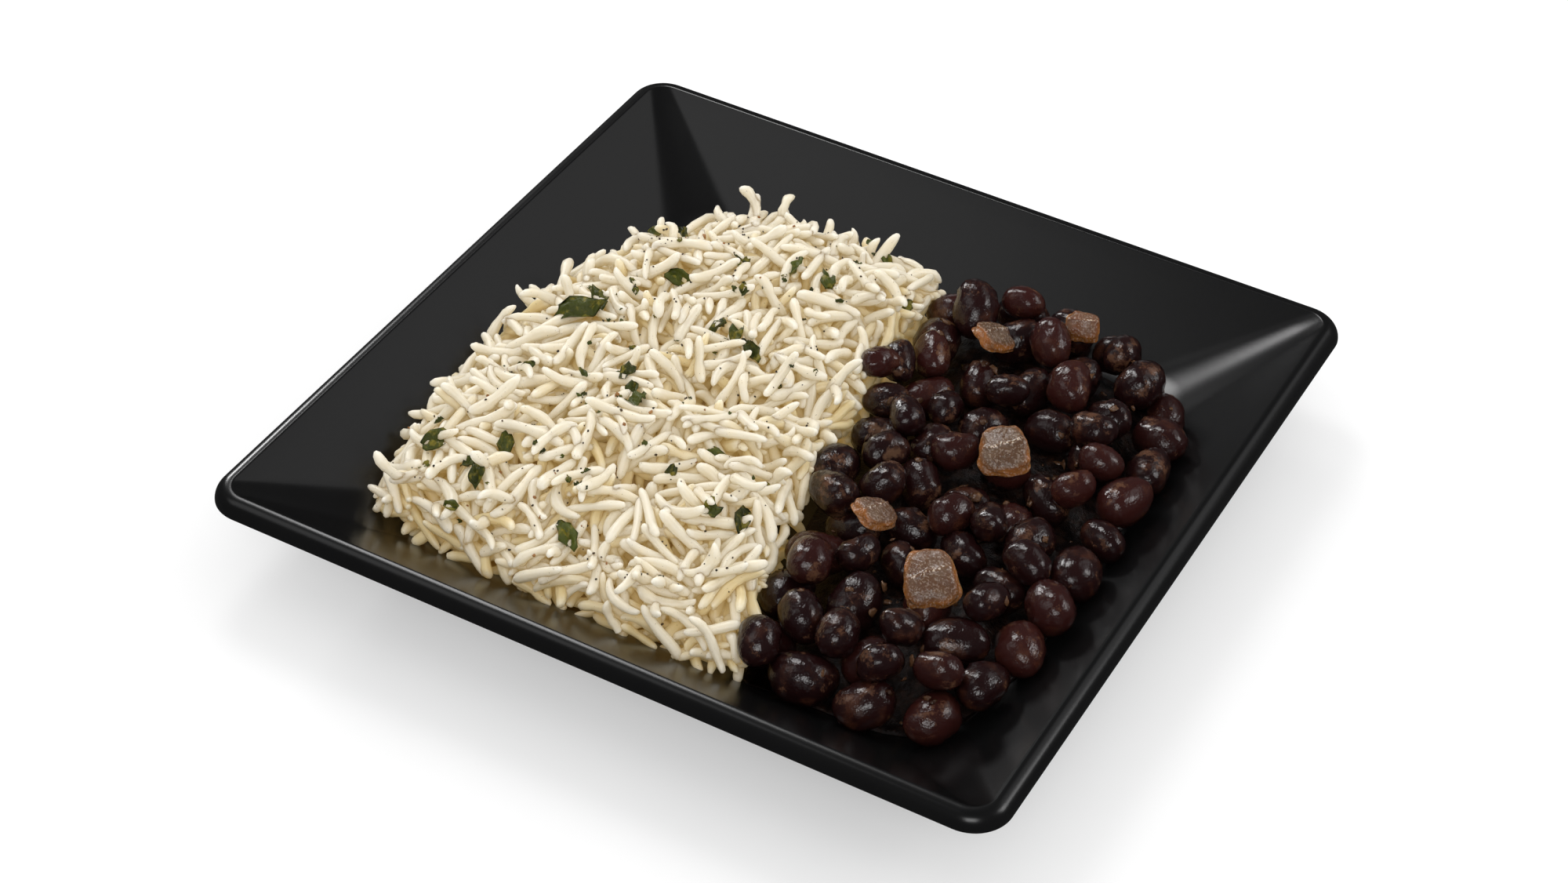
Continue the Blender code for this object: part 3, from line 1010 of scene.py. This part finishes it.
def lowestBean(p, layer, rng, picks, surface, target):
    best = None
    for i, j in picks:
        x, y, yaw = gridLine[i], gridLine[j], rng.uniform(0, pi)
        grow = rng.uniform(*layer["uneven"])
        a, b, c = [v * grow for v in p["size"]]
        if endDistance(beanDistance, x, y, yaw, a) < -p["overhang"] or beanDistance[i, j] < b * p["flat"]:
            continue
        z, lean = restBody(surface, x, y, yaw, a, b, c)
        room = min(target[i, j] + layer["above"], belowOnion(x, y, p["onionMargin"])) - c * p["flat"] - z
        if room > 0 and (best is None or z - dishField[i, j] < best[0]):
            best = (z - dishField[i, j], x, y, z, yaw, lean, a, b, c)
    return best


def fillBeans(p, surface, target):
    rng = random.Random(p["seed"])
    cells = np.argwhere(beanDistance > p["inset"])
    places = beanRow(p, surface)
    for layer in p["passes"]:
        misses = 0
        for _ in range(layer["tries"]):
            picks = [rng.choice(cells) for _ in range(p["picks"])]
            if layer["intoGaps"]:
                gap = max(picks[:p["gapPicks"]], key=lambda spot: roomAt(target, surface, spot))
                if roomAt(target, surface, gap) < p["leastGap"]:
                    break
                near = range(-p["nearCells"], p["nearCells"] + 1)
                picks = [gap + np.array([rng.choice(near), rng.choice(near)]) for _ in range(p["nearPicks"])]
            best = lowestBean(p, layer, rng, picks, surface, target)
            if best is None:
                misses += 1
                if misses > layer["patience"]:
                    break
                continue
            _, x, y, z, yaw, lean, a, b, c = best
            pitch = max(-0.6, min(0.6, 0.45 * lean + rng.uniform(-0.3, 0.3)))
            places.append(beanPlace(p, rng, surface, x, y, z - p["sink"], yaw, pitch, a, b, c))
    return places


def beanMesh(index, rng, rings=12, around=18):
    bend, fat = rng.uniform(0.12, 0.36), rng.uniform(-0.08, 0.08)
    start = noiseStart(rng, 50)
    wrinkle = rng.choice((0.02, 0.03, 0.05, 0.08))
    split = index % 4 == 3
    dentAt, dentDeep = rng.uniform(0, tau), rng.uniform(0.02, 0.14)

    def gash(s, a):
        near = abs(remainder(a - dentAt, tau))
        return max(0.0, 1 - (near / 0.55) ** 2) * max(0.0, 1 - (s / 0.7) ** 2) if split else 0.0

    def shape(s, a):
        r = max(0.0, 1 - abs(s) ** 2.1) ** 0.5 * (1 + fat * s)
        hollow = 0.16 * exp(-(s / 0.35) ** 2) * max(0.0, cos(a)) ** 2
        dent = dentDeep * exp(-((s - 0.3) / 0.4) ** 2) * max(0.0, cos(a - dentAt)) ** 3
        spot = Vector((s * 1.4, cos(a), sin(a)))
        rough = wrinkle * noise.noise(spot * 2.3 + start) + wrinkle * 0.6 * noise.noise(spot * 5.0 + start)
        r = r * (1 - hollow - dent + rough * 1.6) * (1 - 0.16 * gash(s, a))
        return (s * 0.98, bend * (0.3 - s * s) + r * cos(a), r * sin(a))

    return longBody(f"bean{index}", rings, around, shape, gash)


def beanMaterial():
    material, tree, shader = newMaterial("glossyBean", {"Coat Weight": 0.15, "Coat Roughness": 0.10})
    reddish = smoothMask(tree, attribute(tree, "tone"), 0.45, 1.0)
    base = mixColour(tree, reddish, (0.0105, 0.0030, 0.0031), (0.030, 0.0072, 0.0058))
    cloudy = objectNoise(tree, 210.0, detail=4.0)
    base = layOver(tree, base, smoothMask(tree, cloudy, 0.52, 0.74), 0.5, (0.070, 0.023, 0.011))
    mash = objectNoise(tree, 150.0, detail=5.0, roughness=0.7, offset=(3, 1, 2))
    base = layOver(tree, base, smoothMask(tree, mash, 0.555, 0.67), 0.8, (0.105, 0.048, 0.026))
    frayed = calc(tree, "MULTIPLY", calc(tree, "SUBTRACT", objectNoise(tree, 700.0, detail=4.0), 0.5), 1.6)
    split = smoothMask(tree, calc(tree, "ADD", attribute(tree, "mark"), frayed), 0.35, 0.85)
    feed(tree, shader, "Base Color", mixColour(tree, split, base, (0.100, 0.050, 0.028)))
    unevenRoughness(tree, shader, cloudy, 0.09, 0.16)
    wrinkles = objectNoise(tree, 400.0, detail=4.0, roughness=0.62, stretch=(1.0, 0.6, 1.0))
    addBump(tree, shader, wrinkles, 0.5, 0.0009)
    return material


def sauceMaterial():
    material, tree, shader = newMaterial("beanSauce", {"Roughness": 0.30, "Specular IOR Level": 0.25})
    cloudy = objectNoise(tree, 420.0, detail=5.0, roughness=0.65)
    thick = smoothMask(tree, cloudy, 0.42, 0.70)
    feed(tree, shader, "Base Color", mixColour(tree, thick, (0.004, 0.0018, 0.0015), (0.022, 0.009, 0.005)))
    addBump(tree, shader, cloudy, 0.8, 0.0014)
    return material


def sauceLift(x, y, i, j):
    p = beanSettings
    edge = max(0.0, float(beanDistance[i, j]) - p["filmInset"])
    film = float(dishHeight(x, y)) + p["filmDepth"] * (1 - exp(-edge / p["filmRound"]))
    return max(film, float(beanBed[i, j]) + 0.7 * noise.noise((x / 5, y / 5, 4.1)))


def shrunkEdge(points, centre, by):
    middle = Vector(centre)
    return [tuple(Vector(p) - (Vector(p) - middle).normalized() * by) for p in points]


sauceEdge = smoothLine(shrunkEdge(beanEdge, (40, 0), beanSettings["filmInset"])) + border[::-1]
coreBody("beanSauce", sauceEdge, (40, 0), sauceLift, 44, 150, sauceMaterial(), ("beans",))
glossyBean = beanMaterial()
beanPlaces += fillBeans(beanSettings, surface, beanTarget)
heapedKinds = kindsOf(beanMesh, beanSettings["kinds"], beanSettings["kindSeed"])
scatter("beansHeaped", beanPlaces, heapedKinds, glossyBean, seed=8)


def nodeSpot(name):
    low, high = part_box(name)
    return [(a + b) / 2 / mm for a, b in zip(low, high)]


looseBean = {"turn": (0.2, 0.14, radians(60)), "size": (5.0, 3.6, 3.2), "kind": 0, "tone": 0.9}
scatter("beanOnRice", [{"at": nodeSpot("loose_bean"), **looseBean}], [beanMesh(0, random.Random(91), 22, 32)],
        glossyBean, replaced=("loose_bean",))


onionSettings = {
    # size in mm, turn in degrees
    "onion_1": {"size": (10.4, 11.0, 4.2), "turn": (20, -6, 30), "tone": 0.3},
    "onion_2": {"size": (10.8, 12.2, 4.2), "turn": (24, -6, 34), "tone": 0.5},
    "onion_3": {"size": (9.4, 8.0, 4.0), "turn": (12, 24, 70), "tone": 0.4},
    "onion_4": {"size": (10.0, 7.8, 4.0), "turn": (14, 26, 72), "tone": 0.2},
    "onion_5": {"size": (7.6, 6.4, 4.6), "turn": (24, 6, 20), "tone": 1.0},
}


def onionMaterial():
    material, tree, shader = newMaterial("amberOnion", {
        "Roughness": 0.16,
        "Subsurface Weight": 0.7, "Subsurface Radius": (1.0, 0.6, 0.3), "Subsurface Scale": 0.0022})
    streak = objectNoise(tree, 300.0, detail=4.0, stretch=(1.0, 0.4, 1.0))
    base = mixColour(tree, attribute(tree, "tone"), (0.086, 0.055, 0.033), (0.125, 0.048, 0.023))
    base = layOver(tree, base, smoothMask(tree, streak, 0.40, 0.7), 0.5, (0.165, 0.110, 0.075))
    base = mixColour(tree, smoothMask(tree, attribute(tree, "rim"), 0.70, 1.0), base, (0.235, 0.088, 0.022))
    # painted glints: tiny pale specks over the chunk, much stronger along its ridge
    paintedGlints = smoothMask(tree, objectNoise(tree, 2100.0, detail=2.0), 0.52, 0.62)
    paler = calc(tree, "ADD", calc(tree, "MULTIPLY", attribute(tree, "ridge"), 0.75), 0.18)
    feed(tree, shader, "Base Color", layOver(tree, base, paintedGlints, paler, (0.66, 0.58, 0.50)))
    addBump(tree, shader, objectNoise(tree, 850.0, detail=4.0), 0.5, 0.0006)
    return material


# a folded slab with rounded sides; two faces meet in a ridge across its top, where the material paints its
# glints
def onionMesh(name, size, seed):
    bm = bmesh.new()
    bmesh.ops.create_cube(bm, size=1.0)
    bmesh.ops.subdivide_edges(bm, edges=bm.edges, cuts=21, use_grid_fill=True)
    rimLayer = bm.verts.layers.float.new("rim")
    ridgeLayer = bm.verts.layers.float.new("ridge")
    start = Vector((seed * 7.3, seed * 1.9, 0.0))
    for vertex in bm.verts:
        p = vertex.co * 2
        outer = max(abs(p.x), abs(p.y), 0.01)
        shrink = 1 / max(1.0, (abs(p.x) ** 3.4 + abs(p.y) ** 3.4) ** (1 / 3.4) / outer)
        x, y = p.x * shrink, p.y * shrink
        edge = max(abs(x), abs(y))
        away = y - 0.08 - 0.14 * x
        ridge = exp(-((away / 0.07) ** 2)) if p.z > 0.5 else 0.0
        vertex[rimLayer] = max(edge if p.z < 0.95 else outer * 0.86, 0.85 - 0.25 * p.z)
        vertex[ridgeLayer] = ridge * (1 - edge**6)
        z = p.z * (1 - 0.42 * outer**5) + (0.25 - 0.42 * abs(away)) * (0.75 + 0.25 * p.z)
        z += 0.16 * ridge + 0.22 * noiseAt(start, x * 1.5, y * 1.5, p.z)
        x, y = x * (0.95 - 0.14 * y) * (1 - 0.06 * p.z), y * (1 - 0.06 * p.z)
        x += 0.11 * noiseAt(start, y * 1.9, p.z, 3.0)
        y += 0.11 * noiseAt(start, x * 1.9, 5.0, p.z)
        vertex.co = Vector((x * size[0] / 2, y * size[1] / 2, z * size[2] / 2 * 0.8)) * mm
    return meshFrom(name, bm)


amberOnion = onionMaterial()
for number, (node, p) in enumerate(onionSettings.items()):
    mesh = onionMesh("onionChip" + node[-1], p["size"], number + 1)
    turn = Euler([radians(v) for v in p["turn"]]).to_matrix().to_4x4()
    mesh.transform(Matrix.Translation(Vector(nodeSpot(node)) * mm) @ turn)
    mesh.attributes.new("tone", "FLOAT", "POINT").data.foreach_set("value", [p["tone"]] * len(mesh.vertices))
    mesh.materials.append(amberOnion)
    handOver(linkObject("onionChip" + node[-1], mesh), (node,))
print("onion chips made")


herbSettings = {
    # x, y, length and width in mm, heading in degrees
    "leaves": [(-52.5, -4.5, 8.5, 5, 50), (-50, 0.5, 6, 4, 55), (-51.5, 36.5, 5, 4, 20),
               (-55, 32.5, 3.5, 2.5, 50), (-41, 19, 4.5, 3, 0), (-19, 32.5, 5, 2.5, 140),
               (-11.5, 33.5, 5, 3, 165), (-13.5, 2.5, 6, 3, 130), (-18, 4.5, 5, 2.5, 150),
               (-23.5, 5.5, 4, 2.5, 120), (-31.5, -18.5, 4, 2.5, 130), (-25, -25.5, 5, 4, 50),
               (-28, -22.5, 3.5, 2.5, 100), (-51, -26.5, 3, 2, 60), (-43, -47.5, 4, 3, 80),
               (-42.5, -59, 5.5, 3, 120), (-46.5, -55.5, 3.5, 2.5, 100), (-57, -53, 5, 3.5, 50),
               (-4, -29.5, 3.5, 2, 20), (-9, -38.5, 3, 2, 70), (-19.5, -61.5, 6, 3.5, 115),
               (10.5, -43.5, 6, 3, 35), (6, -48, 3.5, 3, 60), (-44, -66.5, 3, 2, 0), (-24, 18, 3, 2, 40),
               (-7.5, 54.5, 3.5, 2, 120), (5, 39, 4, 2.5, 20), (-31, 30, 3, 2, 80)],
    "grow": 1.30,
    "bits": 110,
    "bitSize": (0.8, 2.4),
    "speckKinds": 4,
    "speckSeed": 60,
    "specks": {
        "pepperSpecks": {"count": 620, "size": (0.18, 0.38),
                         "colours": ((0.010, 0.007, 0.004), (0.075, 0.045, 0.020))},
        "spiceSpecks": {"count": 40, "size": (0.3, 0.75),
                        "colours": ((0.23, 0.085, 0.018), (0.36, 0.17, 0.045))},
    },
    "kinds": 7,
    "kindSeed": 300,
    "seed": 31,
}


# a ragged, curled leaf: an upper and a lower skin that share their edge
def leafMesh(index, rng):
    start = noiseStart(rng, 9)
    curl, point = rng.uniform(0.15, 0.6), rng.uniform(0.5, 1.0)
    rings, around = (0.0, 0.3, 0.55, 0.8, 1.0), 14
    bm = bmesh.new()

    def put(share, a, side):
        ragged = 1 + 0.30 * noiseAt(start, cos(a) * 1.6, sin(a) * 1.6, 1.0)
        ragged += 0.30 * noiseAt(start, cos(a) * 4.5, sin(a) * 4.5, 7.0)
        x = cos(a) * share * ragged
        y = sin(a) * share * ragged * (1 - 0.35 * point * abs(cos(a)))
        z = curl * (x * y + 0.5 * y * y) + 0.75 * noiseAt(start, x * 1.5, y * 1.5, 0.0)
        z += 0.50 * noiseAt(start, x * 3.2, y * 3.2, 4.0)
        return bm.verts.new((x, y, z + side * 0.07 * (1 - share**3)))

    upper, lower = [[[put(share, tau * k / around, side) for k in range(around if share else 1)]
                     for share in shares] for side, shares in ((1, rings), (-1, rings[:-1]))]
    for rows in (upper, lower + upper[-1:]):
        fanFaces(bm, rows[0][0], rows[1])
        bandFaces(bm, rows[1:])
    return meshFrom(f"leaf{index}", bm)


def gritMesh(index, rng):
    bm = bmesh.new()
    bmesh.ops.create_icosphere(bm, subdivisions=1, radius=1.0)
    for vertex in bm.verts:
        vertex.co *= rng.uniform(0.65, 1.15)
    return meshFrom(f"grit{index}", bm, smooth=False)


def herbMaterial():
    material, tree, shader = newMaterial("cookedHerb", {"Roughness": 0.34, "Specular IOR Level": 0.3})
    base = mixColour(tree, attribute(tree, "tone"), (0.026, 0.030, 0.004), (0.075, 0.090, 0.010))
    patch = smoothMask(tree, objectNoise(tree, 420.0), 0.50, 0.66)
    feed(tree, shader, "Base Color", layOver(tree, base, patch, 0.75, (0.22, 0.175, 0.014)))
    addBump(tree, shader, objectNoise(tree, 900.0, detail=4.0), 0.8, 0.0006)
    return material


def specMaterial(name, dark, light):
    material, tree, shader = newMaterial(name, {"Roughness": 0.5})
    feed(tree, shader, "Base Color", mixColour(tree, attribute(tree, "tone"), dark, light))
    return material


# direction of the heap's surface at a place, as Euler angles for a flat thing lying on it
def lying(field, x, y, yaw, reach=2.0):
    east, west = field[cellOf(x + reach, y)], field[cellOf(x - reach, y)]
    north, south = field[cellOf(x, y + reach)], field[cellOf(x, y - reach)]
    up = Vector((float(west - east), float(south - north), 2 * reach)).normalized()
    turn = up.to_track_quat("Z", "Y") @ Quaternion((0, 0, 1), yaw)
    return tuple(turn.to_euler())


# lying, but nearer level
def lyingFlatter(field, x, y, yaw):
    turn = Euler(lying(field, x, y, yaw, 3.0)).to_quaternion()
    flat = Quaternion((0, 0, 1), yaw)
    return tuple(flat.slerp(turn, 0.6).to_euler())


def topAround(field, x, y, reach):
    return float(np.percentile(field[window(x, y, reach)], 68))


def randomSpot(rng, cells, field):
    i, j = rng.choice(cells)
    return gridLine[i], gridLine[j], float(field[i, j])


def makeHerbs(p, field):
    rng = random.Random(p["seed"])
    places = []
    for x, y, length, width, yaw in p["leaves"]:
        z = topAround(field, x, y, width * 0.4) + 0.4
        size = [v * p["grow"] / 2 for v in (length, width, width)]
        turn = lyingFlatter(field, x, y, radians(yaw))
        places.append(placeRow((x, y, z), turn, size, p["kinds"], rng))
    cells = np.argwhere(riceDistance > 4)
    for _ in range(p["bits"]):
        x, y, z = randomSpot(rng, cells, field)
        size = rng.uniform(*p["bitSize"])
        turn = lyingFlatter(field, x, y, rng.uniform(0, tau))
        places.append(placeRow((x, y, z + 0.1), turn, (size / 2, size * 0.36, size * 0.4), p["kinds"], rng))
    kinds = kindsOf(leafMesh, p["kinds"], p["kindSeed"])
    scatter("herbLeaves", places, kinds, herbMaterial(), (0.92, 1.08), 4)


def makeSpecks(p, field):
    rng = random.Random(p["seed"] + 5)
    cells = np.argwhere(riceDistance > 2)
    kinds = kindsOf(gritMesh, p["speckKinds"], p["speckSeed"])
    for name, speck in p["specks"].items():
        places = []
        for _ in range(speck["count"]):
            x, y, z = randomSpot(rng, cells, field)
            size = rng.uniform(*speck["size"])
            turn = [rng.uniform(0, tau) for _ in range(3)]
            sizes = (size, size * rng.uniform(0.6, 1), size * 0.7)
            places.append(placeRow((x, y, z + 0.1 * size), turn, sizes, len(kinds), rng))
        scatter(name, places, kinds, specMaterial(name, *speck["colours"]), (0.85, 1.15), 6)


crumbSettings = {"count": 150, "size": (0.4, 1.8), "kinds": 8, "kindSeed": 500, "seed": 41}


def crumbMesh(index, rng):
    start = noiseStart(rng, 9)
    bm = bmesh.new()
    bmesh.ops.create_icosphere(bm, subdivisions=2, radius=1.0)
    for vertex in bm.verts:
        p = vertex.co
        vertex.co = p * (1 + 0.7 * noise.noise(p * 1.3 + start) + 0.25 * noise.noise(p * 3.0 + start))
    return meshFrom(f"crumb{index}", bm)


def crumbMaterial():
    material, tree, shader = newMaterial("beanMash", {"Roughness": 0.14})
    base = mixColour(tree, attribute(tree, "tone"), (0.024, 0.010, 0.006), (0.095, 0.044, 0.020))
    paler = smoothMask(tree, objectNoise(tree, 500.0, detail=4.0), 0.5, 0.75)
    feed(tree, shader, "Base Color", mixColour(tree, paler, base, (0.13, 0.070, 0.036)))
    addBump(tree, shader, objectNoise(tree, 1300.0), 0.6, 0.0005)
    return material


# crumbs lie in the gaps between the beans
def makeCrumbs(p, field):
    rng = random.Random(p["seed"])
    cells = np.argwhere(beanDistance > 3)
    places = []
    for _ in range(p["count"]):
        picks = [rng.choice(cells) for _ in range(3)]
        i, j = max(picks, key=lambda spot: roomAt(beanTarget, field, spot))
        size = rng.triangular(p["size"][0], p["size"][1], p["size"][0])
        x, y, z = gridLine[i], gridLine[j], float(field[i, j]) - 0.05 * size
        turn = lying(field, x, y, rng.uniform(0, tau), 1.0)
        sizes = (size, size * rng.uniform(0.5, 1), size * rng.uniform(0.25, 0.5))
        places.append(placeRow((x, y, z), turn, sizes, p["kinds"], rng))
    kinds = kindsOf(crumbMesh, p["kinds"], p["kindSeed"])
    scatter("beanCrumbs", places, kinds, crumbMaterial(), (0.85, 1.15), 9)


makeHerbs(herbSettings, surface)
makeSpecks(herbSettings, surface)
makeCrumbs(crumbSettings, surface)
